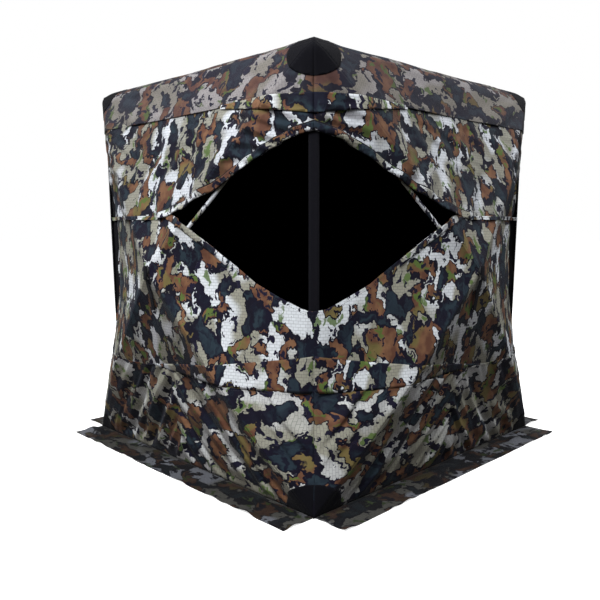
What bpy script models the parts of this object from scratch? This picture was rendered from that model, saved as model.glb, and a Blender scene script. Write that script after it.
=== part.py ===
"""Pop-up ground blind: a cube of camouflage fabric held out by five push-out hubs.

Frame: origin on the ground at the centre of the floor, +Z up, metres. The four walls face -Y (front),
+X (right), +Y (back) and -X (left). Each wall and the roof is a square panel with a hub at its centre
and four fibreglass rods running to its corners. The rods bow the panel outward. The front and right
walls have their curtains drawn apart at the corner they share, which leaves a diamond window around
the corner strap. The back wall has a zipped door, hinged on its corner edge.

A point of a panel is given as (u, v): -1 to 1 across, seen from outside, and -1 to 1 upward.
On the roof u runs along +X and v along +Y.
"""
import math

import bmesh
import bpy
from mathutils import Matrix, Vector

# Overall shape
HALF_WIDTH = 0.75        # from the centre to a wall's corner line
HEIGHT = 1.65            # from the ground to the roof corners
HUB_BULGE = 0.20         # how far a hub stands out from the plane of its corners
BOW = 0.6                # extra outward curve of rods and fabric between hub and corner
WAIST_HEIGHT = 0.40      # where the corner edges are pulled in
WAIST_INSET = 0.045      # how far they are pulled in, along each wall
SKIRT_WIDTH = 0.15       # ground skirt outside each wall

# Fabric layers, given as depth below the panel's outer surface
FABRIC = 0.003
INNER_LAYER = 0.005      # depth of the lower curtain, which hangs behind the upper one
EDGE_GAP = 0.004         # between fabric and the next wall
INNER_EDGE_GAP = 0.010
SEAM_GAP = 0.0005        # half the gap between panels that meet on a seam
HUB_HOLE = 0.062         # radius of the hub opening in each panel

# Heights of the seams and hems
ROOF_SEAM = 1.46
BASE_SEAM = 0.41
WINDOW_TOP = 1.35        # upper curtain hem at the window corner
WINDOW_BOTTOM = 0.70     # lower curtain hem at the window corner
UPPER_HEM = 1.03         # upper curtain hem away from the window
LOWER_HEM = 1.05         # lower curtain hem, tucked behind the upper curtain
WINDOW_POINT = 0.05      # u of the window's side point, where the hems turn level

# Corner patches and straps
PATCH_RADIUS = 0.125
FOOT_RADIUS = 0.11
FOOT_LIFT = 0.006
PATCH_GAP = 0.002
FOOT_GAP = 0.004         # wider, because the patch's clipped tip lies flatter than the fabric
STRAP_WIDTH = 0.038
STRAP_TOP = 1.39
STRAP_GAP = 0.002
PULL_WIDTH = 0.025
PULL_LENGTH = 0.16       # below the hub's centre
PULL_TOP = 0.02          # above the hub's centre
PULL_LIFT = 0.0045       # outside the panel's apex

# Hub and rods, in a frame with Z pointing out of the panel and its origin on the panel's apex
HUB_RADIUS = 0.055
HUB_DEPTH = 0.034
PIN_RADIUS = 0.0025
PIN_LENGTH = 0.028
PIN_CLEARANCE = 0.0007
PIN_OFFSET = 0.040       # from the hub's centre to a rod's pin
ROD_DEPTH = 0.022        # rod centre line below the panel's outer surface
ROD_RADIUS = 0.0045
FERRULE_RADIUS = 0.0055
FERRULE_LENGTH = 0.05
TIP_RADIUS = 0.006
TIP_LENGTH = 0.03
ROD_REACH = 0.955        # share of the way from hub to corner that a rod covers
SLOT_WIDTH = 0.014
SLOT_INNER = 0.024
SLOT_ROOF = -0.010

# Door, as distances in the back wall's plane from its centre
DOOR_APEX = (0.17, 0.0)
DOOR_LOW = (0.72, -0.34)
DOOR_HIGH = (0.72, 0.55)
TAPE_GAP = 0.003
TAPE_WIDTH = 0.022

RING_SIZES = (1.0, 0.8, 0.6, 0.4, 0.2)
SEGMENTS = 6             # mesh segments along each side of a panel
ROUND_SIDES = 6          # sides of rods and pins
HUB_SIDES = 20
SAME_POINT = 1e-4        # closer points of a sheet are one point

WALLS = ("front", "right", "back", "left")
CORNERS = {"front_right": 0, "back_right": 1, "back_left": 2, "front_left": 3}
HALF_HEIGHT = HEIGHT / 2

COLOURS = {              # base colour, roughness, metallic
    "camo_curtain": ((0.34, 0.33, 0.31, 1), 0.75, 0.0),
    "camo_band": ((0.22, 0.20, 0.19, 1), 0.75, 0.0),
    "black_patch": ((0.013, 0.013, 0.020, 1), 0.6, 0.0),
    "webbing": ((0.012, 0.012, 0.018, 1), 0.7, 0.0),
    "fibreglass": ((0.015, 0.015, 0.016, 1), 0.25, 0.0),
    "hub_plastic": ((0.02, 0.02, 0.022, 1), 0.45, 0.0),
    "zip_tape": ((0.01, 0.01, 0.01, 1), 0.6, 0.0),
}


# ---------------------------------------------------------------- the shape of a panel

def rise(share):
    """Outward bulge at a share of the way from a panel's edge (0) to its hub (1)."""
    return HUB_BULGE * (share + BOW * share * (1 - share))


def waist(height):
    """How far the corner edges are pulled in at a height."""
    if height < WAIST_HEIGHT:
        return WAIST_INSET * height / WAIST_HEIGHT
    return WAIST_INSET * (HEIGHT - height) / (HEIGHT - WAIST_HEIGHT)


def side_frame(side):
    """Matrix of a panel: X across, Y up, Z out of the panel."""
    if side == "roof":
        return Matrix.Identity(4)
    turn = Matrix.Rotation(math.radians(90) * WALLS.index(side), 4, "Z")
    return turn @ Matrix.Rotation(math.radians(90), 4, "X")


def wall_point(side, u, v):
    """Point on a wall's outer surface."""
    height = HALF_HEIGHT * (1 + v)
    pull = 0.0
    if abs(v) < abs(u):
        toward_corner = (abs(u) - abs(v)) / (1 - abs(v))
        pull = waist(height) * toward_corner ** 2
    across = u * HALF_WIDTH - math.copysign(pull, u)
    out = HALF_WIDTH + rise(1 - max(abs(u), abs(v))) - pull
    return side_frame(side) @ Vector((across, height, out))


def roof_point(side, u, v):
    """Point on the roof's outer surface."""
    height = HEIGHT + rise(1 - max(abs(u), abs(v)))
    return Vector((u * HALF_WIDTH, v * HALF_WIDTH, height))


def outward(side):
    """Unit direction out of a panel."""
    return side_frame(side).to_3x3() @ Vector((0, 0, 1))


def half_size(side):
    """Half the panel's width and height."""
    return (HALF_WIDTH, HALF_WIDTH if side == "roof" else HALF_HEIGHT)


# ---------------------------------------------------------------- flat panels in (u, v)

def square_ring():
    """Points round the edge of the unit square, anticlockwise from its lower left corner."""
    ring = []
    for step in range(SEGMENTS):
        ring.append((-1 + 2 * step / SEGMENTS, -1))
    for step in range(SEGMENTS):
        ring.append((1, -1 + 2 * step / SEGMENTS))
    for step in range(SEGMENTS):
        ring.append((1 - 2 * step / SEGMENTS, 1))
    for step in range(SEGMENTS):
        ring.append((-1, 1 - 2 * step / SEGMENTS))
    return ring


def flat_panel(side):
    """Flat mesh of a whole panel, in square rings round its hub hole."""
    width, height = half_size(side)
    mesh = bmesh.new()
    rings = [[mesh.verts.new((u * size, v * size, 0)) for u, v in square_ring()] for size in RING_SIZES]
    hole = []
    for u, v in square_ring():
        direction = Vector((u * width, v * height)).normalized() * HUB_HOLE
        hole.append(mesh.verts.new((direction.x / width, direction.y / height, 0)))
    rings.append(hole)
    count = len(hole)
    for outer, inner in zip(rings, rings[1:]):
        for k in range(count):
            after = (k + 1) % count
            mesh.faces.new((outer[k], outer[after], inner[after], inner[k]))
    return mesh


def cut_along(mesh, start, end, clear):
    """Split a flat mesh along a line; what lies to the right of start-end is cleared if asked."""
    along = Vector((end[0] - start[0], end[1] - start[1], 0))
    right = Vector((along.y, -along.x, 0)).normalized()
    everything = mesh.verts[:] + mesh.edges[:] + mesh.faces[:]
    bmesh.ops.bisect_plane(mesh, geom=everything, dist=1e-5, plane_co=(start[0], start[1], 0),
                           plane_no=right, clear_outer=clear)


def sides_of(outline):
    """Each side of a closed outline, as a pair of points."""
    return list(zip(outline, outline[1:] + outline[:1]))


def trim(mesh, outline):
    """Keep the part of a flat mesh inside a convex, anticlockwise outline."""
    for start, end in sides_of(outline):
        cut_along(mesh, start, end, True)


def inside(point, outline):
    """Whether a point is inside a convex, anticlockwise outline."""
    return all(
        (end[0] - start[0]) * (point.y - start[1]) - (end[1] - start[1]) * (point.x - start[0]) > 0
        for start, end in sides_of(outline)
    )


def pierce(mesh, outline):
    """Remove the part of a flat mesh inside a convex, anticlockwise outline."""
    for start, end in sides_of(outline):
        cut_along(mesh, start, end, False)
    removed = [face for face in mesh.faces if inside(face.calc_center_median(), outline)]
    bmesh.ops.delete(mesh, geom=removed, context="FACES")


def level(height):
    """The v of a height on a wall."""
    return height / HALF_HEIGHT - 1


# ---------------------------------------------------------------- thick sheets

class Sheet:
    """Surface points with their outward directions, closed into a thin solid."""

    def __init__(self):
        self.points = []
        self.directions = []
        self.faces = []

    def vertex(self, point, direction):
        """Index of a point; panels that share it each add their own outward direction."""
        near = [i for i, known in enumerate(self.points) if (known - point).length < SAME_POINT]
        if not near:
            self.points.append(Vector(point))
            self.directions.append([])
        index = near[0] if near else len(self.points) - 1
        if all((direction - known).length > 0.5 for known in self.directions[index]):
            self.directions[index].append(direction)
        return index

    def add(self, flat, side, place):
        """Add a flat mesh, placed on a panel."""
        direction = outward(side)
        for face in flat.faces:
            self.face([place(side, vert.co.x, vert.co.y) for vert in face.verts], direction)
        flat.free()

    def face(self, points, direction):
        """Add one face by its points."""
        self.faces.append([self.vertex(point, direction) for point in points])

    def solid(self, name, lift, thickness):
        """Mesh of the sheet with its outer skin lifted, and its inner skin a thickness below."""
        count = len(self.points)
        toward = [sum(known, Vector()) for known in self.directions]
        outer = [p + d * lift for p, d in zip(self.points, toward)]
        inner = [p + d * (lift - thickness) for p, d in zip(self.points, toward)]
        sides = {}
        for face in self.faces:
            for a, b in zip(face, face[1:] + face[:1]):
                sides[(a, b)] = True
        rim = [(b, a, a + count, b + count) for a, b in sides if (b, a) not in sides]
        back = [[index + count for index in reversed(face)] for face in self.faces]
        mesh = bpy.data.meshes.new(name)
        mesh.from_pydata(outer + inner, [], self.faces + back + rim)
        return mesh


# ---------------------------------------------------------------- objects

def material(slot):
    """Principled material of a slot."""
    found = bpy.data.materials.get(slot)
    if found:
        return found
    colour, roughness, metallic = COLOURS[slot]
    made = bpy.data.materials.new(slot)
    made.use_nodes = True
    shader = made.node_tree.nodes["Principled BSDF"]
    shader.inputs["Base Color"].default_value = colour
    shader.inputs["Roughness"].default_value = roughness
    shader.inputs["Metallic"].default_value = metallic
    made.diffuse_color = colour
    return made


def add_object(name, mesh, slot, matrix=None):
    """New object with its material, placed by its location and rotation."""
    made = bpy.data.objects.new(name, mesh)
    if not mesh.materials:
        mesh.materials.append(material(slot))
    if matrix:
        made.matrix_world = matrix
    bpy.context.scene.collection.objects.link(made)
    return made


def wall_sheet(name, side, outline, slot, depth=0.0, opening=None):
    """A piece of one wall, as a thin curved solid at a depth below the wall's surface."""
    flat = flat_panel(side)
    trim(flat, outline)
    if opening:
        pierce(flat, opening)
    sheet = Sheet()
    sheet.add(flat, side, wall_point)
    return add_object(name, sheet.solid(name, -depth, FABRIC), slot)


def add_roof():
    """Roof pyramid and the band that hangs from it over the top of each wall."""
    sheet = Sheet()
    sheet.add(flat_panel("roof"), "roof", roof_point)
    seam = level(ROOF_SEAM + SEAM_GAP)
    for side in WALLS:
        band = flat_panel(side)
        trim(band, [(-1, seam), (1, seam), (1, 1), (-1, 1)])
        sheet.add(band, side, wall_point)
    add_object("roof_panel", sheet.solid("roof_panel", 0, FABRIC), "camo_band")


def add_curtains(side, window):
    """Upper and lower curtain of a wall; window is the side where they part: 1, -1 or 0 for shut."""
    top = level(ROOF_SEAM - SEAM_GAP)
    edge = 1 - EDGE_GAP / HALF_WIDTH
    hem = level(UPPER_HEM)
    upper = [(-edge, hem), (WINDOW_POINT, hem), (edge, level(WINDOW_TOP)), (edge, top), (-edge, top)]
    inner_edge = 1 - INNER_EDGE_GAP / HALF_WIDTH
    foot = level(BASE_SEAM + SEAM_GAP)
    tuck = level(LOWER_HEM)
    lower = [(-inner_edge, foot), (inner_edge, foot), (inner_edge, level(WINDOW_BOTTOM)),
             (WINDOW_POINT, tuck), (-inner_edge, tuck)]
    if window == 0:
        upper = [(-edge, hem), (edge, hem), (edge, top), (-edge, top)]
        lower = [(-inner_edge, foot), (inner_edge, foot), (inner_edge, tuck), (-inner_edge, tuck)]
    if window < 0:
        upper = [(-u, v) for u, v in reversed(upper)]
        lower = [(-u, v) for u, v in reversed(lower)]
    wall_sheet(f"{side}_upper_curtain", side, upper, "camo_curtain")
    wall_sheet(f"{side}_lower_curtain", side, lower, "camo_curtain", INNER_LAYER)


def add_base(side):
    """Base band of a wall with its ground skirt, one sheet folded along the ground line."""
    edge = 1 - EDGE_GAP / HALF_WIDTH
    band = flat_panel(side)
    trim(band, [(-edge, -1), (edge, -1), (edge, level(BASE_SEAM - SEAM_GAP)),
                (-edge, level(BASE_SEAM - SEAM_GAP))])

    def on_ground(side, u, v):
        point = wall_point(side, u, v)
        point.z = max(point.z, FABRIC)
        return point

    fold = sorted({round(vert.co.x, 6) for vert in band.verts if vert.co.y < -1 + 1e-5})
    sheet = Sheet()
    sheet.add(band, side, on_ground)
    reach = outward(side) * SKIRT_WIDTH
    for left, right in zip(fold, fold[1:]):
        inner_left, inner_right = on_ground(side, left, -1), on_ground(side, right, -1)
        skirt = [inner_left + reach, inner_right + reach, inner_right, inner_left]
        sheet.face(skirt, Vector((0, 0, 1)))
    add_object(f"{side}_base_panel", sheet.solid(f"{side}_base_panel", 0, FABRIC), "camo_band")


def fan(radius, across_sign, up_sign, side):
    """Points of a quarter disc round a panel's corner, with the rod's line among its spokes."""
    width, height = half_size(side)
    ridge = math.atan2(height, width)
    spokes = (0, ridge / 2, ridge, (ridge + math.pi / 2) / 2, math.pi / 2)
    return [(across_sign * (1 - radius * math.cos(a) / width), up_sign * (1 - radius * math.sin(a) / height))
            for a in spokes]


def add_fan(sheet, side, place, corner, arc):
    """Add a quarter disc to a sheet, wound to face outward."""
    tip = place(side, *corner)
    direction = outward(side)
    for a, b in zip(arc, arc[1:]):
        start, end = place(side, *a), place(side, *b)
        if (start - tip).cross(end - tip).dot(direction) < 0:
            start, end = end, start
        sheet.face([tip, start, end], direction)


def walls_at(corner):
    """The wall to the left and the wall to the right of a corner, seen from outside."""
    quarter = CORNERS[corner]
    return WALLS[quarter], WALLS[(quarter + 1) % 4]


def add_top_patch(corner):
    """Reinforcing patch over a roof corner, reaching onto the roof and both walls."""
    left, right = walls_at(corner)
    sheet = Sheet()
    add_fan(sheet, left, wall_point, (1, 1), fan(PATCH_RADIUS, 1, 1, left))
    add_fan(sheet, right, wall_point, (-1, 1), fan(PATCH_RADIUS, -1, 1, right))
    u_sign = 1 if "right" in corner else -1
    v_sign = -1 if "front" in corner else 1
    add_fan(sheet, "roof", roof_point, (u_sign, v_sign), fan(PATCH_RADIUS, u_sign, v_sign, "roof"))
    name = f"top_patch_{corner}"
    add_object(name, sheet.solid(name, PATCH_GAP + FABRIC, FABRIC), "black_patch")


def add_foot_patch(corner):
    """Reinforcing patch over a ground corner, reaching onto both walls."""
    left, right = walls_at(corner)

    def lifted(side, u, v):
        return wall_point(side, u, max(v, level(FOOT_LIFT)))

    sheet = Sheet()
    add_fan(sheet, left, lifted, (1, -1), fan(FOOT_RADIUS, 1, -1, left))
    add_fan(sheet, right, lifted, (-1, -1), fan(FOOT_RADIUS, -1, -1, right))
    name = f"foot_patch_{corner}"
    add_object(name, sheet.solid(name, FOOT_GAP + FABRIC, FABRIC), "black_patch")


def box_mesh(name, low, high):
    """Mesh of a box between two corners."""
    mesh = bmesh.new()
    bmesh.ops.create_cube(mesh, size=1)
    low, high = Vector(low), Vector(high)
    for vert in mesh.verts:
        vert.co = Vector((vert.co[i] * (high - low)[i] + (low + high)[i] / 2 for i in range(3)))
    made = bpy.data.meshes.new(name)
    mesh.to_mesh(made)
    mesh.free()
    return made


def corner_edge(corner, height):
    """Point on a corner edge."""
    return wall_point(walls_at(corner)[0], 1, level(height))


def add_corner_strap(corner):
    """Flat webbing down a corner, from below the roof band to the base band."""
    bottom, top = corner_edge(corner, BASE_SEAM + 0.005), corner_edge(corner, STRAP_TOP)
    up = (top - bottom).normalized()
    left, right = (outward(side) for side in walls_at(corner))
    away = (left + right).normalized()
    away = (away - up * away.dot(up)).normalized()
    across = up.cross(away)
    turn = Matrix((across, away, up)).transposed().to_4x4()
    length = (top - bottom).length
    mesh = box_mesh(f"corner_strap_{corner}", (-STRAP_WIDTH / 2, STRAP_GAP, 0),
                    (STRAP_WIDTH / 2, STRAP_GAP + FABRIC, length))
    add_object(f"corner_strap_{corner}", mesh, "webbing", Matrix.Translation(bottom) @ turn)


# ---------------------------------------------------------------- door

def grow(outline, distances):
    """Move each side of a convex, anticlockwise outline outward by its own distance."""
    lines = []
    for (start, end), distance in zip(sides_of(outline), distances):
        along = Vector((end[0] - start[0], end[1] - start[1])).normalized()
        normal = Vector((along.y, -along.x))
        lines.append((Vector(start) + normal * distance, along))
    grown = []
    for (p, d), (q, e) in zip(lines[-1:] + lines[:-1], lines):
        step = ((q.x - p.x) * e.y - (q.y - p.y) * e.x) / (d.x * e.y - d.y * e.x)
        grown.append(tuple(p + d * step))
    return grown


def in_uv(outline):
    """An outline in the wall's plane as (u, v)."""
    return [(x / HALF_WIDTH, y / HALF_HEIGHT) for x, y in outline]


def add_back_wall():
    """Back panel with its door opening, the zip tape round it and the door."""
    edge = 1 - EDGE_GAP / HALF_WIDTH
    foot, top = level(BASE_SEAM + SEAM_GAP), level(ROOF_SEAM - SEAM_GAP)
    whole = [(-edge, foot), (edge, foot), (edge, top), (-edge, top)]
    door = [DOOR_APEX, DOOR_LOW, DOOR_HIGH]
    opening = grow(door, (TAPE_WIDTH + 2 * TAPE_GAP, TAPE_GAP, TAPE_WIDTH + 2 * TAPE_GAP))
    wall_sheet("back_panel", "back", whole, "camo_curtain", opening=in_uv(opening))
    tape_outside = grow(door, (TAPE_WIDTH + TAPE_GAP, 0, TAPE_WIDTH + TAPE_GAP))
    tape_inside = grow(door, (TAPE_GAP, TAPE_WIDTH, TAPE_GAP))
    wall_sheet("door_zip_tape", "back", in_uv(tape_outside), "zip_tape", opening=in_uv(tape_inside))
    wall_sheet("door_panel", "back", in_uv(door), "camo_curtain")


# ---------------------------------------------------------------- hubs and rods

def hub_matrix(side):
    """Frame of a hub: X across, Y up, Z out, origin on the panel's apex."""
    if side == "roof":
        return Matrix.Translation((0, 0, HEIGHT + HUB_BULGE))
    return side_frame(side) @ Matrix.Translation((0, HALF_HEIGHT, HALF_WIDTH + HUB_BULGE))


def turned_mesh(name, profile, sides):
    """Mesh of a profile of (radius, height) points turned round Z, from its foot to its top."""
    verts, faces = [], []
    for radius, height in profile:
        for k in range(sides):
            angle = 2 * math.pi * k / sides
            verts.append((radius * math.cos(angle), radius * math.sin(angle), height))
    for ring in range(len(profile) - 1):
        for k in range(sides):
            after = (k + 1) % sides
            low, high = ring * sides, (ring + 1) * sides
            faces.append((low + k, low + after, high + after, high + k))
    faces.append(tuple(reversed(range(sides))))
    faces.append(tuple(range(len(verts) - sides, len(verts))))
    mesh = bpy.data.meshes.new(name)
    mesh.from_pydata(verts, [], faces)
    return mesh


def combined(name, body, tools, operation):
    """Mesh of a body after a Boolean with each placed tool mesh."""
    target = bpy.data.objects.new(name, body)
    bpy.context.scene.collection.objects.link(target)
    helpers = []
    for mesh, matrix in tools:
        helper = bpy.data.objects.new(f"{name}_tool", mesh)
        helper.matrix_world = matrix
        helper.hide_render = True
        helper.display_type = "WIRE"
        bpy.context.scene.collection.objects.link(helper)
        modifier = target.modifiers.new("combine", "BOOLEAN")
        modifier.operation = operation
        modifier.solver = "EXACT"
        modifier.object = helper
        helpers.append(helper)
    bpy.context.view_layer.update()
    graph = bpy.context.evaluated_depsgraph_get()
    made = bpy.data.meshes.new_from_object(target.evaluated_get(graph))
    made.name = name
    for helper in helpers + [target]:
        bpy.data.objects.remove(helper)
    return made


def rod_angles(side):
    """Directions of a panel's four rods in its plane, with the name of the corner each runs to."""
    width, height = half_size(side)
    if side == "roof":
        names = {(1, 1): "back_right", (-1, 1): "back_left", (-1, -1): "front_left", (1, -1): "front_right"}
    else:
        names = {(1, 1): "upper_right", (-1, 1): "upper_left", (-1, -1): "lower_left", (1, -1): "lower_right"}
    return [(names[signs], math.atan2(signs[1] * height, signs[0] * width)) for signs in names]


def hub_mesh(side):
    """Domed disc with a slot and a cross bore for each rod's pinned end."""
    profile = ((HUB_RADIUS - 0.005, -HUB_DEPTH), (HUB_RADIUS, -HUB_DEPTH + 0.004), (HUB_RADIUS, -0.004),
               (HUB_RADIUS - 0.008, 0.002), (0.02, 0.004))
    slot = box_mesh("slot", (SLOT_INNER, -SLOT_WIDTH / 2, -HUB_DEPTH - 0.01),
                    (HUB_RADIUS + 0.02, SLOT_WIDTH / 2, SLOT_ROOF))
    bore_length = PIN_LENGTH + 2 * PIN_CLEARANCE
    bore_radius = PIN_RADIUS + PIN_CLEARANCE
    bore = turned_mesh("bore", ((bore_radius, -bore_length / 2), (bore_radius, bore_length / 2)), ROUND_SIDES)
    lay_down = Matrix.Rotation(math.radians(90), 4, "X")
    tools = []
    for _, angle in rod_angles(side):
        turn = Matrix.Rotation(angle, 4, "Z")
        tools.append((slot, turn))
        tools.append((bore, turn @ Matrix.Translation((PIN_OFFSET, 0, -ROD_DEPTH)) @ lay_down))
    return combined(f"hub_{side}", turned_mesh("hub", profile, HUB_SIDES), tools, "DIFFERENCE")


def rod_mesh(side):
    """Bowed rod with a pinned ferrule at its hub end; origin on the pin, X toward the corner."""
    diagonal = math.hypot(*half_size(side))
    end = ROD_REACH * diagonal - PIN_OFFSET
    stations = [(-0.008, 0.003), (-0.006, FERRULE_RADIUS), (FERRULE_LENGTH, FERRULE_RADIUS),
                (FERRULE_LENGTH + 0.002, ROD_RADIUS)]
    spans = 6
    for step in range(1, spans):
        stations.append((FERRULE_LENGTH + (end - TIP_LENGTH - FERRULE_LENGTH) * step / spans, ROD_RADIUS))
    stations += [(end - TIP_LENGTH - 0.002, ROD_RADIUS), (end - TIP_LENGTH, TIP_RADIUS),
                 (end - 0.004, TIP_RADIUS), (end, 0.003)]
    pin_height = rise(1 - PIN_OFFSET / diagonal)
    verts, faces = [], []
    for x, radius in stations:
        height = rise(1 - (PIN_OFFSET + x) / diagonal) - pin_height
        for k in range(ROUND_SIDES):
            angle = 2 * math.pi * (k + 0.5) / ROUND_SIDES
            verts.append((x, radius * math.cos(angle), height + radius * math.sin(angle)))
    for ring in range(len(stations) - 1):
        low, high = ring * ROUND_SIDES, (ring + 1) * ROUND_SIDES
        for k in range(ROUND_SIDES):
            after = (k + 1) % ROUND_SIDES
            faces.append((low + k, low + after, high + after, high + k))
    faces.append(tuple(reversed(range(ROUND_SIDES))))
    faces.append(tuple(range(len(verts) - ROUND_SIDES, len(verts))))
    rod = bpy.data.meshes.new("rod")
    rod.from_pydata(verts, [], faces)
    pin = turned_mesh("pin", ((PIN_RADIUS, -PIN_LENGTH / 2), (PIN_RADIUS, PIN_LENGTH / 2)), ROUND_SIDES)
    lay_down = Matrix.Rotation(math.radians(90), 4, "X")
    return combined(f"rod_{side}", rod, [(pin, lay_down)], "UNION")


def add_frame(side, hub, rod):
    """Hub, rods and pull strap of one panel."""
    centre = hub_matrix(side)
    add_object(f"hub_{side}", hub, "hub_plastic", centre)
    for name, angle in rod_angles(side):
        turn = Matrix.Rotation(angle, 4, "Z")
        pin = Matrix.Translation((PIN_OFFSET, 0, -ROD_DEPTH))
        add_object(f"rod_{side}_{name}", rod, "fibreglass", centre @ turn @ pin)
    strap = box_mesh(f"pull_strap_{side}", (-PULL_WIDTH / 2, -PULL_LENGTH, PULL_LIFT),
                     (PULL_WIDTH / 2, PULL_TOP, PULL_LIFT + FABRIC))
    add_object(f"pull_strap_{side}", strap, "webbing", centre)


def build():
    """Model the whole blind."""
    for item in list(bpy.data.objects):
        bpy.data.objects.remove(item)
    add_roof()
    add_curtains("front", 1)
    add_curtains("right", -1)
    add_curtains("left", 0)
    add_back_wall()
    for side in WALLS:
        add_base(side)
    for corner in CORNERS:
        add_top_patch(corner)
        add_foot_patch(corner)
        add_corner_strap(corner)
    wall_hub, wall_rod = hub_mesh("front"), rod_mesh("front")
    for side in WALLS:
        add_frame(side, wall_hub, wall_rod)
    add_frame("roof", hub_mesh("roof"), rod_mesh("roof"))


build()
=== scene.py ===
"""Looks of the pop-up ground blind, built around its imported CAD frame.

Every fabric piece is a curved sheet on one of five square panels. A point of a panel is (u, v): -1 to 1
across, seen from outside, and -1 to 1 upward; on the roof u runs along +X and v along +Y. The panel's two
diagonals, where the rods run, part it into four sectors, and each piece is split at them, because a sector
bends with its hub in one direction.
"""
import math

import bmesh
import bpy
from mathutils import Matrix, Vector, noise


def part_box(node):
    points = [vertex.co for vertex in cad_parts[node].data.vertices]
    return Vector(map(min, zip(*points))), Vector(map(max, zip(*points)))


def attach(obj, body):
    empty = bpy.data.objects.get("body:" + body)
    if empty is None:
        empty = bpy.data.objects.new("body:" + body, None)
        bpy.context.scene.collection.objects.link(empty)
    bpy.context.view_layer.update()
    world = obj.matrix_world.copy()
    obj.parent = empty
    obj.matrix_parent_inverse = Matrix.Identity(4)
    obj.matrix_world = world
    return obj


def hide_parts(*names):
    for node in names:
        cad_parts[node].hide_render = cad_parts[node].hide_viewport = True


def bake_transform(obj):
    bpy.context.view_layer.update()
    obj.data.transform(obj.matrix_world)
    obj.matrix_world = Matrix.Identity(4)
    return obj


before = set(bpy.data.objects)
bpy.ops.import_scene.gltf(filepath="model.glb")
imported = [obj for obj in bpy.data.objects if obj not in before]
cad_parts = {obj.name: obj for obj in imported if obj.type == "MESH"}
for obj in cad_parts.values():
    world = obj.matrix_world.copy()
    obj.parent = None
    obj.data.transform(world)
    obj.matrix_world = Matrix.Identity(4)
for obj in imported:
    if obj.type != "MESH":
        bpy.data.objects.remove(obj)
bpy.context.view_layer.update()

# ---- sizes, from the frame
WALLS = ("front", "right", "back", "left")
PANELS = WALLS + ("roof",)
CORNERS = {"front_right": 0, "back_right": 1, "back_left": 2, "front_left": 3}
SECTORS = ("right", "top", "left", "bottom")

CAD_EDGE_GAP = 0.004      # between a corner edge and the base panel's side
HUB_DOME = 0.004          # how far a hub's dome stands out of the panel's apex
HALF_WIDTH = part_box("front_base_panel")[1].x + CAD_EDGE_GAP
HUB_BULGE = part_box("hub_right")[1].x - HUB_DOME - HALF_WIDTH
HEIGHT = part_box("hub_roof")[1].z - HUB_DOME - HUB_BULGE
HALF_HEIGHT = HEIGHT / 2
SKIRT_EDGE = -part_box("front_base_panel")[0].y
ROOF_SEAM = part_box("front_upper_curtain")[1].z
BASE_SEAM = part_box("front_lower_curtain")[0].z
UPPER_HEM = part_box("front_upper_curtain")[0].z
LOWER_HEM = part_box("front_lower_curtain")[1].z

# The shape of the panels
BOW = 0.6                 # extra outward curve of rods and fabric between hub and corner
BOW_BETWEEN = 0.12        # share of that curve between the rods
WAIST_HEIGHT = 0.40       # where the corner edges are pulled in
WAIST_INSET = 0.045
ROUND_REACH = 0.040       # how far from a corner edge the fabric starts to turn
ROUND_PULL = 0.010
EAVE_REACH = 0.045        # the same for the roof's edges
EAVE_PULL = 0.009
HOLLOW = 0.034            # inward sag of the curtains beside a closed corner
HUB_COVER = 0.0055        # how far the fabric is lifted over a hub's disc

# Layers of fabric, hems and folds
CLOTH = 0.0012            # fabric thickness
LIFT = {"roof": 0.0025, "valance": 0.0025, "upper": -0.001, "lower": -0.006, "base": -0.002}
PLEAT_HEIGHT = 0.545      # the lower curtain's bottom fold at the window corner
PLEAT_TURN = -0.2         # u where that fold meets the base seam
HEM_WIDTH = 0.028
GRID = 160                # mesh cells across a panel


# ---- the shape of a panel

def ramp(value, low, high):
    """0 below low, 1 above high, straight between."""
    return min(max((value - low) / (high - low), 0.0), 1.0)


def smooth(value, low, high):
    """0 below low, 1 above high, smooth between."""
    share = ramp(value, low, high)
    return share * share * (3 - 2 * share)


def rise(u, v):
    """Outward bulge: a straight rise from a panel's edge to its hub, bowed out only on the rods."""
    share = 1 - max(abs(u), abs(v))
    on_rod = min(abs(u), abs(v)) / max(abs(u), abs(v), 1e-6)
    bow = BOW * (BOW_BETWEEN + (1 - BOW_BETWEEN) * on_rod * on_rod)
    return HUB_BULGE * (share + bow * share * (1 - share))


def waist(height):
    """How far the corner edges are pulled in at a height."""
    if height < WAIST_HEIGHT:
        return WAIST_INSET * height / WAIST_HEIGHT
    return WAIST_INSET * (HEIGHT - height) / (HEIGHT - WAIST_HEIGHT)


def rounding(u, height):
    """Inward pull beside a corner edge, where the fabric turns round the flat corner strap."""
    near = max(0.0, (abs(u) - 1) * HALF_WIDTH / ROUND_REACH + 1)
    return ROUND_PULL * near * near * smooth(height, 0.06, 0.30) * smooth(HEIGHT - height, 0.0, 0.14)


def side_frame(side):
    """Matrix of a panel: X across, Y up, Z out of the panel."""
    if side == "roof":
        return Matrix.Identity(4)
    turn = Matrix.Rotation(math.radians(90) * WALLS.index(side), 4, "Z")
    return turn @ Matrix.Rotation(math.radians(90), 4, "X")


FRAMES = {side: side_frame(side) for side in PANELS}


def half_height(side):
    """Half of a panel's height."""
    return HALF_WIDTH if side == "roof" else HALF_HEIGHT


def eased(point):
    """A point near an eave moved in and down, so that the fabric turns over the roof's edge softly."""
    above = ramp(point.z, HEIGHT - EAVE_REACH, HEIGHT)
    near = [ramp(abs(point[axis]), HALF_WIDTH - EAVE_REACH, HALF_WIDTH) for axis in (0, 1)]
    for axis in (0, 1):
        point[axis] -= math.copysign(EAVE_PULL * (above * near[axis]) ** 2, point[axis])
    point.z -= EAVE_PULL * (above * max(near)) ** 2
    return point


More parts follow.
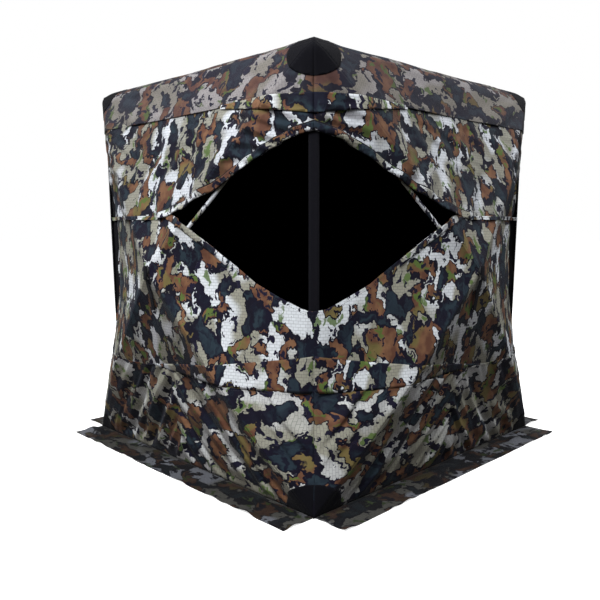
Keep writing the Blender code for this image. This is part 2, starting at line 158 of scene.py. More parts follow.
def surface(side, u, v, lift=0.0):
    """Point of a panel's outer surface, moved outward by lift."""
    mitre_u = math.copysign(lift * smooth(abs(u), 0.975, 1.0), u)
    mitre_v = math.copysign(lift * smooth(abs(v), 0.975, 1.0), v)
    if side == "roof":
        height = HEIGHT + rise(u, v) + lift
        return eased(Vector((u * HALF_WIDTH + mitre_u, v * HALF_WIDTH + mitre_v, height)))
    height = HALF_HEIGHT * (1 + v)
    pull = rounding(u, height)
    if abs(v) < abs(u):
        pull += waist(height) * ((abs(u) - abs(v)) / (1 - abs(v))) ** 2
    across = u * HALF_WIDTH - math.copysign(pull, u) + mitre_u
    height = max(height + mitre_v, 0.0015)
    return eased(FRAMES[side] @ Vector((across, height, HALF_WIDTH + rise(u, v) - pull + lift)))


def level(height):
    """The v of a height on a wall."""
    return height / HALF_HEIGHT - 1


def hub_frame(side):
    """Frame of a hub: X across, Y up, Z out, origin on the panel's apex."""
    if side == "roof":
        return Matrix.Translation((0, 0, HEIGHT + HUB_BULGE))
    return FRAMES[side] @ Matrix.Translation((0, HALF_HEIGHT, HALF_WIDTH + HUB_BULGE))


# ---- node helpers

class Nodes:
    """Short calls for building a node tree."""

    def __init__(self, tree):
        self.tree = tree

    def plug(self, socket, value):
        """Link a socket to another, or set its value."""
        if isinstance(value, bpy.types.NodeSocket):
            self.tree.links.new(value, socket)
        else:
            socket.default_value = value

    def make(self, kind, inputs=None, **settings):
        """New node with its settings and inputs."""
        node = self.tree.nodes.new(kind)
        for key, value in settings.items():
            setattr(node, key, value)
        for key, value in (inputs or {}).items():
            self.plug(node.inputs[key], value)
        return node

    def math(self, operation, *values):
        """Result of a maths node."""
        node = self.make("ShaderNodeMath", operation=operation)
        for socket, value in zip(node.inputs, values):
            self.plug(socket, value)
        return node.outputs[0]

    def add(self, a, b):
        """Sum of two vectors."""
        return self.make("ShaderNodeVectorMath", {0: a, 1: b}, operation="ADD").outputs[0]

    def parts(self, vector):
        """Outputs X, Y and Z of a vector."""
        return self.make("ShaderNodeSeparateXYZ", {"Vector": vector}).outputs

    def uv(self, turned=False):
        """The print's coordinates in metres, turned a quarter if asked."""
        coords = self.make("ShaderNodeUVMap", uv_map="print").outputs[0]
        if not turned:
            return coords
        return self.make("ShaderNodeMapping", {"Vector": coords, "Rotation": (0, 0, math.pi / 2)}).outputs[0]

    def noise(self, coords, scale, detail=2.0, rough=0.5, distortion=0.0, shift=None, output="Fac"):
        """Noise texture in two dimensions."""
        if shift:
            coords = self.add(coords, shift + (0,))
        node = self.make("ShaderNodeTexNoise", {"Vector": coords, "Scale": scale, "Detail": detail,
                                                "Roughness": rough, "Distortion": distortion},
                         noise_dimensions="2D")
        return node.outputs[output]

    def step(self, value, low, high):
        """0 below low, 1 above high."""
        inputs = {"Value": value, "From Min": low, "From Max": high}
        return self.make("ShaderNodeMapRange", inputs, clamp=True).outputs[0]

    def patches(self, coords, scale, low, high, **settings):
        """0 where a noise is below low, 1 where it is above high."""
        return self.step(self.noise(coords, scale, **settings), low, high)

    def mix(self, factor, a, b, blend="MIX"):
        """Mix of two colours."""
        inputs = {"Factor": factor, "A": a, "B": b}
        return self.make("ShaderNodeMix", inputs, data_type="RGBA", blend_type=blend).outputs["Result"]

    def multiply(self, a, b, factor=1.0):
        """Product of two colours."""
        return self.mix(factor, a, b, "MULTIPLY")

    def bump(self, height, strength, distance, **others):
        """Normal of a bump with a height."""
        inputs = {"Height": height, "Strength": strength, "Distance": distance, **others}
        return self.make("ShaderNodeBump", inputs).outputs[0]

    def weave(self, coords, pitch):
        """Height of a plain weave with a thread pitch in metres."""
        rate = 2 * math.pi / pitch
        waves = [self.math("SINE", self.math("MULTIPLY", part, rate)) for part in self.parts(coords)[:2]]
        return self.math("MULTIPLY", *waves)


class Paint(Nodes):
    """A new material and its nodes."""

    def __init__(self, name):
        self.material = bpy.data.materials.new(name)
        self.material.use_nodes = True
        super().__init__(self.material.node_tree)

    def shade(self, inputs):
        """Plug the shader's inputs; returns the material."""
        shader = self.tree.nodes["Principled BSDF"]
        for key, value in inputs.items():
            self.plug(shader.inputs[key], value)
        return self.material


# ---- materials

def rgb(red, green, blue):
    """Linear colour of display values from 0 to 255."""
    return tuple((c / 255 / 12.92) if c <= 10 else ((c / 255 + 0.055) / 1.055) ** 2.4
                 for c in (red, green, blue)) + (1.0,)


def scaled(colour, factor, offset=0.0):
    """A colour made lighter or darker."""
    return tuple(min(1.0, c * factor + offset) for c in colour[:3]) + (1.0,)


WHITE, BLACK = (1, 1, 1, 1), (0, 0, 0, 1)
STONE, BRIGHT = rgb(150, 149, 136), rgb(214, 219, 224)
RUSTS = (rgb(92, 60, 46), rgb(122, 88, 64))
SLATES = (rgb(14, 17, 34), rgb(36, 50, 60))
NAVIES = (rgb(6, 5, 16), rgb(18, 15, 38))
OLIVE, SPROUT, TWIG, HAZE = rgb(112, 110, 62), rgb(82, 106, 50), rgb(22, 20, 42), rgb(78, 78, 92)
FACING_DOWN = (0.60, 0.58, 0.58, 1)       # shades painted over the print
# darker towards the ground: dust and painted shade
BOTTOM_DUST_AND_SHADE = (0.62, 0.58, 0.56, 1)
VEIN = 0.040              # how far a pale patch's noise leads the others at its edge
RAGGED = 0.006            # how fast its edge fades in
LINES = {"Color1": WHITE, "Color2": (0.90, 0.90, 0.90, 1), "Mortar": (0.30, 0.30, 0.34, 1), "Scale": 1.0,
         "Mortar Size": 0.0010, "Mortar Smooth": 1.0, "Brick Width": 0.019, "Row Height": 0.0112}


def camo_masks(paint, coords, pale_bias):
    """Ragged coordinates, and masks of the pale, rust and slate patches; navy is what they leave."""
    ragged = coords
    for scale, detail, rough, reach in ((8.0, 1.0, 0.5, 0.10), (36.0, 1.8, 0.6, 0.046)):
        drift = paint.noise(coords, scale, detail, rough, output="Color")
        drift = paint.make("ShaderNodeVectorMath", {0: drift, 1: (0.5, 0.5, 0.5)}, operation="SUBTRACT")
        drift = paint.make("ShaderNodeVectorMath", {0: drift.outputs[0], "Scale": reach}, operation="SCALE")
        ragged = paint.add(ragged, drift.outputs[0])
    fields = [paint.math("ADD", paint.noise(ragged, 9.5, 1.5), pale_bias),
              paint.math("SUBTRACT", paint.noise(ragged, 8.0, 1.5, shift=(7.3, 2.1)), 0.052),
              paint.math("SUBTRACT", paint.noise(ragged, 7.0, 1.0, shift=(3.7, 11.9)), 0.064)]
    edges = ((VEIN, VEIN + RAGGED), (VEIN / 2, VEIN / 2 + RAGGED), (VEIN - 0.01, VEIN + 0.035))
    masks = []
    for number, (low, high) in enumerate(edges):
        others = paint.math("MAXIMUM", fields[number - 1], fields[number - 2])
        masks.append(paint.step(paint.math("SUBTRACT", fields[number], others), low, high))
    return ragged, masks


def camo_colour(paint, flat, coords, bright, pale_bias):
    """Colour of the print: patches parted by navy veins, sprouts, twigs and a fine block line pattern."""
    ragged, (pale_mask, rust_mask, slate_mask) = camo_masks(paint, coords, pale_bias)
    pale = paint.mix(paint.patches(coords, 4.3, 0.46, 0.56, detail=1.0, shift=(5.1, 3.3)), STONE, bright)
    lines = paint.make("ShaderNodeTexBrick", {"Vector": flat, **LINES}).outputs["Color"]
    pale = paint.multiply(pale, lines, 0.9)
    rust = paint.mix(paint.patches(coords, 16.0, 0.38, 0.66, shift=(1.2, 8.8)), *RUSTS)
    olive = paint.patches(coords, 7.0, 0.56, 0.66, detail=1.0, shift=(14.2, 8.8))
    rust = paint.mix(paint.math("MULTIPLY", olive, 0.6), rust, OLIVE)
    slate = paint.mix(paint.patches(ragged, 12.0, 0.40, 0.62, distortion=1.0, shift=(2.2, 4.4)), *SLATES)
    navy = paint.mix(paint.noise(coords, 8.0, shift=(9.9, 0.4)), *NAVIES)
    colour = paint.mix(slate_mask, navy, slate)
    colour = paint.mix(rust_mask, colour, rust)
    colour = paint.mix(pale_mask, colour, pale)
    sprout = paint.patches(ragged, 15.0, 0.655, 0.700, detail=1.0, shift=(13.0, 6.0))
    sprout = paint.math("MULTIPLY", sprout, paint.math("MAXIMUM", pale_mask, rust_mask))
    colour = paint.mix(paint.math("MULTIPLY", sprout, 0.9), colour, SPROUT)
    twig = paint.patches(ragged, 22.0, 0.635, 0.645, detail=1.0, shift=(21.0, 5.0))
    twig = paint.math("MULTIPLY", twig, paint.math("ADD", pale_mask, rust_mask))
    return paint.mix(twig, colour, TWIG)


def camo_material(name, tint, turned=False, scale=1.0, haze=0.0, dust_and_shade=False, bright=BRIGHT,
                  pale_bias=0.013):
    """Printed polyester, worn, with a fine weave and a crumpled surface; painted shade darkens faces that
    look downward and, where asked, the lower part as dust and painted shade.
    """
    paint = Paint(name)
    flat = paint.uv(turned)
    stretch = (1.36 * scale, 1.06 * scale, 1)
    coords = paint.make("ShaderNodeMapping", {"Vector": flat, "Scale": stretch}).outputs[0]
    colour = camo_colour(paint, flat, coords, bright, pale_bias)
    colour = paint.mix(haze, paint.multiply(colour, tint), HAZE)
    grime = paint.noise(coords, 2.3, 3.0, 0.6, shift=(31.0, 17.0))
    colour = paint.multiply(colour, paint.mix(grime, scaled(WHITE, 0.84), (1.05, 1.05, 1.05, 1)))
    if dust_and_shade:
        # darker towards the bottom of the panel: dust and painted shade
        height = paint.math("MULTIPLY_ADD", grime, 0.25, paint.parts(paint.uv())[1])
        colour = paint.multiply(colour, paint.mix(paint.step(height, -0.40, -0.12), BOTTOM_DUST_AND_SHADE, WHITE))
    up = paint.parts(paint.make("ShaderNodeNewGeometry").outputs["Normal"])[2]
    colour = paint.multiply(colour, paint.mix(paint.step(up, -0.24, -0.03), FACING_DOWN, WHITE))
    crumple = paint.noise(flat, 26.0, 4.0, 0.6, 0.4, (3.0, 8.0))
    woven = paint.bump(paint.weave(flat, 0.0016), 0.35, 0.0004)
    return paint.shade({
        "Base Color": colour, "Normal": paint.bump(crumple, 0.5, 0.004, Normal=woven),
        "Roughness": paint.math("MULTIPLY_ADD", grime, 0.3, 0.62),
        "Specular IOR Level": 0.16, "Sheen Weight": 0.03, "Sheen Roughness": 0.4})


def woven_material(name, colour, roughness, pitch, strength, distance, wear=0.25):
    """Plain-coloured woven material whose raised threads are lighter."""
    paint = Paint(name)
    coords = paint.uv()
    threads = paint.weave(coords, pitch)
    patchy = paint.noise(coords, 9.0, 3.0, 0.6)
    worn = paint.math("MULTIPLY", paint.step(threads, -0.2, 1.0), paint.math("MULTIPLY", patchy, wear * 2))
    return paint.shade({
        "Base Color": paint.mix(worn, colour, scaled(colour, 2.0, 0.0015)),
        "Normal": paint.bump(threads, strength, distance),
        "Roughness": paint.math("MULTIPLY_ADD", patchy, 0.2, roughness - 0.1),
        "Specular IOR Level": 0.08, "Sheen Weight": 0.02})


def moulded_material(name, colour, roughness):
    """Moulded plastic with a fine grain and scuffs; it takes its place from the object itself."""
    paint = Paint(name)
    place = paint.make("ShaderNodeTexCoord").outputs["Object"]
    grain = paint.make("ShaderNodeTexNoise", {"Vector": place, "Scale": 900.0, "Detail": 2.0}).outputs["Fac"]
    scuff = paint.make("ShaderNodeTexNoise", {"Vector": place, "Scale": 60.0, "Detail": 4.0}).outputs["Fac"]
    return paint.shade({
        "Base Color": paint.mix(paint.step(scuff, 0.58, 0.75), colour, scaled(colour, 2.5, 0.01)),
        "Normal": paint.bump(grain, 0.15, 0.0003),
        "Roughness": paint.math("MULTIPLY_ADD", scuff, 0.3, roughness - 0.15)})


MATERIALS = {
    # The skirt's print is darkened far below the fabric's own colour: painted shade.
    "skirt": camo_material("camo_skirt_print_shaded", (0.15, 0.15, 0.165, 1), True, 0.92),
    # The sleeve is a light camo, and its print is made paler still as painted light, since inside the window
    # it lies in shade.
    "sleeve": camo_material("camo_sleeve_print_lightened", WHITE, pale_bias=0.10),
    "curtain": camo_material("camo_curtain_print", (0.95, 0.95, 0.95, 1)),
    # The upper curtains' copy of the print is darker: painted shade of the folds under the roof seam.
    "upper": camo_material("camo_upper_print_shaded", (0.80, 0.80, 0.82, 1)),
    "band": camo_material("camo_band_print", (0.66, 0.62, 0.65, 1), True, 0.85, haze=0.14,
                          bright=rgb(176, 176, 172)),
    # The base band's whites are dimmed as painted shade of its downward-facing sectors, and the band is
    # darkened towards the ground by dust and painted shade.
    "base": camo_material("camo_base_print_shaded", (0.92, 0.92, 0.92, 1), True, 0.92, dust_and_shade=True,
                          bright=rgb(196, 198, 198)),
    "lining": woven_material("black_lining", (0.0015, 0.0015, 0.002, 1), 0.95, 0.0016, 0.2, 0.0003, 0.1),
    "patch": woven_material("black_patch_cloth", (0.0022, 0.0022, 0.0042, 1), 0.8, 0.0022, 0.4, 0.0005,
                            0.08),
    "webbing": woven_material("black_webbing", (0.0035, 0.0035, 0.006, 1), 0.7, 0.0030, 0.7, 0.0007, 0.15),
    "binding": woven_material("black_binding", (0.006, 0.006, 0.008, 1), 0.65, 0.0020, 0.5, 0.0005),
    "thread": woven_material("black_thread", (0.03, 0.03, 0.035, 1), 0.5, 0.0010, 0.5, 0.0003),
    "fibreglass": moulded_material("fibreglass_gloss", (0.012, 0.012, 0.013, 1), 0.25),
    "hub": moulded_material("hub_moulding", (0.016, 0.016, 0.018, 1), 0.45),
    "zip": moulded_material("zip_teeth_moulding", (0.02, 0.02, 0.02, 1), 0.35),
}


# ---- flat pieces of a panel

def sector_grid(sector):
    """Vertices and faces of a grid over one sector; cells on the diagonals are halved."""
    up_u, up_v = {"top": (0, 1), "left": (-1, 0), "bottom": (0, -1), "right": (1, 0)}[sector]
    half = GRID // 2
    index, verts, faces = {}, [], []

    def at(i, j):
        if (i, j) not in index:
            index[(i, j)] = len(verts)
            verts.append(((i * up_v + j * up_u) / half, (j * up_v - i * up_u) / half))
        return index[(i, j)]

    for j in range(half):
        for i in range(-j - 1, j + 1):
            corners = [(i, j), (i + 1, j), (i + 1, j + 1), (i, j + 1)]
            if i == j:
                corners = [(i, j), (i + 1, j + 1), (i, j + 1)]
            if i == -j - 1:
                corners = [(i + 1, j), (i + 1, j + 1), (i, j + 1)]
            faces.append([at(*corner) for corner in corners])
    return verts, faces


GRIDS = {sector: sector_grid(sector) for sector in SECTORS}


def sides_of(outline):
    """Each side of a closed outline, as a pair of points."""
    return list(zip(outline, outline[1:] + outline[:1]))


def cut_along(mesh, start, end, clear):
    """Split a flat mesh along a line; what lies to the right of start-end is cleared if asked."""
    right = Vector((end[1] - start[1], start[0] - end[0], 0)).normalized()
    origin = Vector((start[0], start[1], 0))
    if not clear or any((vert.co - origin).dot(right) > 1e-7 for vert in mesh.verts):
        bmesh.ops.bisect_plane(mesh, geom=mesh.verts[:] + mesh.edges[:] + mesh.faces[:], dist=1e-6,
                               plane_co=origin, plane_no=right, clear_outer=clear)


def inside(point, outline):
    """Whether a point is inside a convex, anticlockwise outline."""
    return all((end[0] - start[0]) * (point.y - start[1]) > (end[1] - start[1]) * (point.x - start[0])
               for start, end in sides_of(outline))


def flat_piece(sector, outline, openings=()):
    """Flat mesh of the part of a sector inside a convex outline and outside some openings."""
    verts, faces = GRIDS[sector]
    source = new_mesh("flat", [(u, v, 0) for u, v in verts], faces)
    mesh = bmesh.new()
    mesh.from_mesh(source)
    bpy.data.meshes.remove(source)
    for start, end in sides_of(outline):
        cut_along(mesh, start, end, True)
    for opening in openings:
        for start, end in sides_of(opening):
            cut_along(mesh, start, end, False)
        gone = [face for face in mesh.faces if inside(face.calc_center_median(), opening)]
        bmesh.ops.delete(mesh, geom=gone, context="FACES")
    return mesh


def add_object(name, mesh, *materials):
    """New object with its materials, shaded smooth."""
    made = bpy.data.objects.new(name, mesh)
    bpy.context.scene.collection.objects.link(made)
    for material in materials:
        mesh.materials.append(MATERIALS[material])
    mesh.shade_smooth()
    return made


def new_mesh(name, verts, faces):
    """Mesh of some vertices and faces."""
    mesh = bpy.data.meshes.new(name)
    mesh.from_pydata(verts, [], faces)
    return mesh


def grid_faces(rows, columns):
    """Faces of a grid of vertices, row by row."""
    return [(first, first + 1, first + columns + 1, first + columns)
            for row in range(rows - 1) for first in range(row * columns, (row + 1) * columns - 1)]


def ring_faces(rings, sides):
    """Faces of a tube of vertex rings, closed at both ends."""
    faces = []
    for first in range(0, (rings - 1) * sides, sides):
        for k in range(sides):
            after = (k + 1) % sides
            faces.append((first + k, first + after, first + sides + after, first + sides + k))
    return faces + [tuple(reversed(range(sides))), tuple(range((rings - 1) * sides, rings * sides))]


def write_uvs(mesh, uvs):
    """Give each vertex its print coordinates."""
    layer = mesh.uv_layers.new(name="print")
    for loop in mesh.loops:
        layer.data[loop.index].uv = uvs[loop.vertex_index]


def thicken(piece, thickness, lining):
    """Give a sheet its thickness, with the second material on its inner side if it has a lining."""
    modifier = piece.modifiers.new("thickness", "SOLIDIFY")
    modifier.thickness = thickness
    modifier.offset = -1
    modifier.material_offset = 1 if lining else 0
    return piece


def follow_hub(piece):
    """Bake the piece's placement into its mesh."""
    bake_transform(piece)


# ---- folds, as lifts in metres

PLEATS = 0.014                              # creases that fan out from a panel's corners
SWELL, RIPPLE = 0.006, 0.0018               # broad and fine unevenness of a taut sheet
FOLD, FOLD_PITCH = 0.0050, 0.052            # slack folds under the roof seam
WAVE, WAVE_PITCH = 0.0055, 0.15             # upright waves of the upper curtain
CRUMPLE = 0.003
DRAG = 0.004                                # slanting folds of the lower curtain
GATHER, GATHER_PITCH = 0.0050, 0.042        # upright folds beside a closed corner
CREASE, FINE_CREASE = 0.020, 0.008          # of the base band
RUMPLE = 0.016                              # of the skirt


def wavy(x, y, rate_x, rate_y, seed):
    """Smooth noise, about -1 to 1, with a rate for each direction."""
    return noise.noise(Vector((x * rate_x, y * rate_y, seed)))


def hub_cover(side, u, v):
    """Extra lift that carries the fabric over the hub's disc."""
    radius = math.hypot(u * HALF_WIDTH, v * half_height(side))
    return HUB_COVER * (1 - smooth(radius, 0.058, 0.10))


def corner_pleats(side, u, v):
    """Creases that fan out from the panel's corners."""
    x, y = (1 - abs(u)) * HALF_WIDTH, (1 - abs(v)) * half_height(side)
    radius, angle = math.hypot(x, y), math.atan2(y, x)
    seed = 3.1 * PANELS.index(side) + 1.7 * (u > 0) + 5.3 * (v > 0)
    return PLEATS * wavy(angle, radius, 7.0, 1.5, seed) * smooth(radius, 0.05, 0.25) * (
        1 - smooth(radius, 0.45, 0.95))


def slack(side, u, v, seed):
    """Soft unevenness of a taut sheet."""
    x, y = u * HALF_WIDTH, v * half_height(side)
    return SWELL * wavy(x, y, 3.3, 3.3, seed) + RIPPLE * wavy(x, y, 11.0, 11.0, seed + 9)


def edge_fade(u, v):
    """0 on the panel's edge, 1 a little way in."""
    return smooth(1 - max(abs(u), abs(v)), 0.0, 0.07)


def rod_fade(u, v):
    """Small on the rods, which hold the fabric, 1 away from them."""
    distance = abs(abs(u) - abs(v)) * HALF_WIDTH * 0.7
    return 0.25 + 0.75 * smooth(distance, 0.0, 0.12)


def taut(side, u, v):
    """Unevenness of the fixed panels: the roof, its band, the back wall and the base bands."""
    seed = 10.0 + PANELS.index(side)
    return (slack(side, u, v, seed) + corner_pleats(side, u, v)) * edge_fade(u, v) * rod_fade(u, v)


def toward_closed(side, u):
    """How near a point is to a closed corner, 1 on it; the front and right walls each have one."""
    return {"front": -u, "right": u, "left": abs(u)}.get(side, 0.0)


def hollow(side, u, height):
    """How far the fabric beside a closed corner sinks inward between the taut corner edge and the rods."""
    closed = toward_closed(side, u)
    dip = smooth(closed, 0.62, 0.90) * smooth(1 - closed, 0.0, 0.09)
    return HOLLOW * dip * smooth(height, 0.42, 0.72) * smooth(1.50 - height, 0.0, 0.40)


def drawn(side, u, v):
    """The upper curtain: slack folds below the roof seam and shallow upright waves."""
    x, y = u * HALF_WIDTH, (v + 1) * HALF_HEIGHT
    seed = 20.0 + WALLS.index(side)
    drop = ROOF_SEAM - y
    wander = 0.030 * wavy(x, y, 5, 5, seed)
    slackness = max(0.0, wavy(x, y, 3.5, 2, seed + 7) + 0.5)
    fold = FOLD * math.sin(2 * math.pi * (y + 0.25 * x + wander) / FOLD_PITCH) * slackness
    sway = 0.05 * math.sin(y * 17.0 + seed) + 0.06 * wavy(x, y, 3, 4, seed)
    wave = WAVE * math.sin(2 * math.pi * (x + sway) / WAVE_PITCH)
    folds = fold * (1 - 0.75 * smooth(drop, 0.10, 0.32)) + wave + CRUMPLE * wavy(x, y, 16, 9, seed + 4)
    return (folds + slack(side, u, v, seed)) * smooth(drop, 0.0, 0.06) * edge_fade(u, v) - hollow(side, u, y)


def hung(side, u, v):
    """The lower curtain: nearly taut with drag folds, and gathered toward a closed corner."""
    x, y = u * HALF_WIDTH, (v + 1) * HALF_HEIGHT
    seed = 30.0 + WALLS.index(side)
    drag = DRAG * wavy(x + y, x - y, 2.0, 7.0, seed)
    rest = (drag + slack(side, u, v, seed)) * edge_fade(u, v) * rod_fade(u, v)
    gather = smooth(toward_closed(side, u), 0.66, 0.90) * smooth(y, BASE_SEAM, BASE_SEAM + 0.25)
    sway = 0.03 * wavy(x, y, 4, 3, seed + 2)
    fold = math.sin(2 * math.pi * (x + sway) / GATHER_PITCH) + wavy(x, y, 50, 7, seed)
    return rest + GATHER * fold * gather * smooth(1 - abs(u), 0.0, 0.02) - hollow(side, u, y)


def creased(side, u, v):
    """The base band: creases that run beside the rods and down into the ground corners."""
    seed = 40.0 + PANELS.index(side)
    beside = (abs(u) - abs(v)) * HALF_WIDTH
    along = (abs(u) + abs(v)) * HALF_WIDTH
    crease = CREASE * wavy(beside, along, 17, 2.2, seed + 3 * (u > 0))
    crease += FINE_CREASE * wavy(beside, along, 42, 5, seed + 5)
    strength = smooth(1 + v, 0.0, 0.06) * smooth(1 - abs(u), 0.0, 0.06)
    return crease * strength * rod_fade(u, v) + 0.5 * taut(side, u, v)


# ---- sheets

def sheet(name, side, outline, lift, shape, cloth="curtain", openings=(), body=None,
          print_shift=(0.0, 0.0), thickness=CLOTH):
    """A fabric piece of a panel, split at the diagonals; it rides a body if one is given."""
    parts = []
    shift = Vector((PANELS.index(side) * 2 * HALF_WIDTH, 0)) + Vector(print_shift)
    for sector in SECTORS:
        flat = flat_piece(sector, outline, openings)
        if not flat.faces:
            flat.free()
            continue
        uv = flat.loops.layers.uv.new("print")
        for face in flat.faces:
            for loop in face.loops:
                co = loop.vert.co
                loop[uv].uv = (co.x * HALF_WIDTH + shift.x, co.y * half_height(side) + shift.y)
        for vert in flat.verts:
            u, v = vert.co.x, vert.co.y
            vert.co = surface(side, u, v, lift + shape(side, u, v) + hub_cover(side, u, v))
        mesh = bpy.data.meshes.new(f"{name}_{sector}")
        flat.to_mesh(mesh)
        flat.free()
        piece = add_object(f"{name}_{sector}", mesh, cloth, "lining")
        thicken(piece, thickness, True)
        if body:
            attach(piece, body)
        else:
            follow_hub(piece)
        parts.append(piece)
    return parts


def stand_for(parts, slot, *nodes):
    """Hide the CAD nodes that some pieces stand for; the material slot given is not used."""
    for part in parts:
        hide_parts(*nodes)


# ---- fabric of each panel

def in_order(outline):
    """The outline, turned anticlockwise if it isn't."""
    area = sum(a[0] * b[1] - b[0] * a[1] for a, b in sides_of(outline))
    return outline if area > 0 else outline[::-1]


def mirrored(outline, flip):
    """The outline, or its mirror image across the panel's middle."""
    return in_order([(-u, v) if flip else (u, v) for u, v in outline])


def rectangle(left, right, low, high):
    """Outline of a rectangle."""
    return [(left, low), (right, low), (right, high), (left, high)]


# The window's edges, as curves of (u, height) from a wall's middle to its open corner
ARCH = [(0.02, 1.031), (0.26, 1.072), (0.45, 1.133), (0.76, 1.270), (0.86, 1.309), (1.01, 1.341)]
BOWL = [(0.00, 1.078), (0.22, 1.034), (0.52, 0.880), (0.69, 0.794), (0.85, 0.737), (0.93, 0.711),
        (1.01, 0.701)]
# A curtain's edge beside a closed corner, drawn back from the corner strap
DRAWN_BACK = [(-1.01, 0.49), (-0.965, 0.49), (-0.925, 0.72), (-0.922, 1.02), (-0.958, 1.24), (-1.01, 1.42)]
CURTAIN_TOP = level(ROOF_SEAM + 0.02)      # under the roof's band
BACKING_EDGE = -0.86
OVERLAP = 0.03                             # how far an opening runs past the curtain that it cuts
BROW_START, BROW = 0.40, 0.006             # u where a fold leaves the roof seam, and its drop there
BROW_END = 1.398                           # height of that fold at the open corner


def beyond(curve, height, flip):
    """Openings between each span of a curve of (u, height) and a height."""
    return [mirrored([(u0, level(z0)), (u1, level(z1)), (u1, level(height)), (u0, level(height))], flip)
            for (u0, z0), (u1, z1) in zip(curve, curve[1:])]


def drawn_back(flip, window):
    """Cuts that draw a curtain's closed edges back from the corner straps."""
    cut = [(u, level(z)) for u, z in DRAWN_BACK]
    return [mirrored(cut, flip)] if window else [mirrored(cut, False), mirrored(cut, True)]


def hem_along(name, side, flip, curve, width, lift, shape, **look):
    """Folded hem along each span of a curve; a positive width is upward."""
    parts = []
    for number, ((u0, z0), (u1, z1)) in enumerate(zip(curve, curve[1:])):
        u1 = min(u1, 1.0)
        strip = [(u0, level(z0)), (u1, level(z1)), (u1, level(z1 + width)), (u0, level(z0 + width))]
        parts += sheet(f"{side}_{name}_{number}", side, mirrored(strip, flip), lift, shape, **look)
    return parts


def add_upper_curtain(side, flip, window):
    """Curtain from the roof seam to its hem, with the window's upper half cut out."""
    whole = rectangle(-1, 1, level(UPPER_HEM), CURTAIN_TOP)
    lift = LIFT["upper"]
    openings = drawn_back(flip, window)
    if window:
        openings += beyond(ARCH, UPPER_HEM - OVERLAP, flip)
    parts = sheet(f"{side}_upper_curtain", side, whole, lift, drawn, "upper", openings)
    if window:
        parts += hem_along("upper_hem", side, flip, ARCH, HEM_WIDTH, lift + 0.006, drawn,
                           print_shift=(0.7, 0.2), thickness=0.0045)
        # A black strip just above the hem: a painted shadow line under the hem's fold.
        parts += hem_along("upper_hem_shadow_line", side, flip, ARCH, HEM_WIDTH + 0.006, lift + 0.002, drawn,
                           cloth="binding", thickness=0.002)
        brow = [(BROW_START, level(ROOF_SEAM + 0.01)), (BROW_START, level(ROOF_SEAM - BROW)),
                (1, level(BROW_END)), (1, level(ROOF_SEAM + 0.01))]
        parts += sheet(f"{side}_brow", side, mirrored(brow, flip), lift + 0.0065, drawn,
                       print_shift=(0.5, 0.9))
    low = rectangle(-1, 0.0 if window else 1, level(UPPER_HEM), level(UPPER_HEM + 0.016))
    parts += sheet(f"{side}_upper_hem", side, mirrored(low, flip), lift + 0.0025, drawn,
                   print_shift=(0.7, 0.2))
    stand_for(parts, "camo_curtain", f"{side}_upper_curtain")


def add_lower_curtain(side, flip, window):
    """Curtain from the base seam to its hem behind the upper one, with a pleat at the window's corner."""
    whole = rectangle(-1, 1, level(BASE_SEAM), level(LOWER_HEM))
    lift = LIFT["lower"]
    openings = drawn_back(flip, window)
    if window:
        openings += beyond(BOWL, LOWER_HEM + OVERLAP, flip)
    parts = sheet(f"{side}_lower_curtain", side, whole, lift, hung, openings=openings)
    for closed in [flip] if window else [flip, not flip]:
        backing = rectangle(-1, BACKING_EDGE, level(BASE_SEAM), level(ROOF_SEAM))
        parts += sheet(f"{side}_corner_backing_{int(closed)}", side, mirrored(backing, closed), lift - 0.004,
                       hung, "binding")
    if window:
        parts += hem_along("lower_hem", side, flip, BOWL[:3], -HEM_WIDTH, lift + 0.004, hung,
                           print_shift=(0.31, 0.17), thickness=0.003)
        pleat = [(PLEAT_TURN, level(BASE_SEAM + 0.002)), (1, level(BASE_SEAM + 0.002)),
                 (1, level(PLEAT_HEIGHT)), (PLEAT_TURN, level(BASE_SEAM + 0.006))]
        parts += sheet(f"{side}_pleat", side, mirrored(pleat, flip), lift + 0.0055, hung,
                       print_shift=(0.4, 0.3))
    stand_for(parts, "camo_curtain", f"{side}_lower_curtain")


def add_roof():
    """Roof pyramid and the band over the top of each wall."""
    parts = sheet("roof_panel", "roof", rectangle(-1, 1, -1, 1), LIFT["roof"], taut, "band")
    for side in WALLS:
        band = rectangle(-1, 1, level(ROOF_SEAM), 1)
        parts += sheet(f"{side}_roof_band", side, band, LIFT["valance"], taut, "band")
    stand_for(parts, "camo_band", "roof_panel")


def add_base(side):
    """Base band of a wall, tapering inward to the ground."""
    band = rectangle(-1, 1, -1, level(BASE_SEAM + 0.004))
    parts = sheet(f"{side}_base_band", side, band, LIFT["base"], creased, "base", print_shift=(0.0, 0.5))
    stand_for(parts, "camo_band", f"{side}_base_panel")


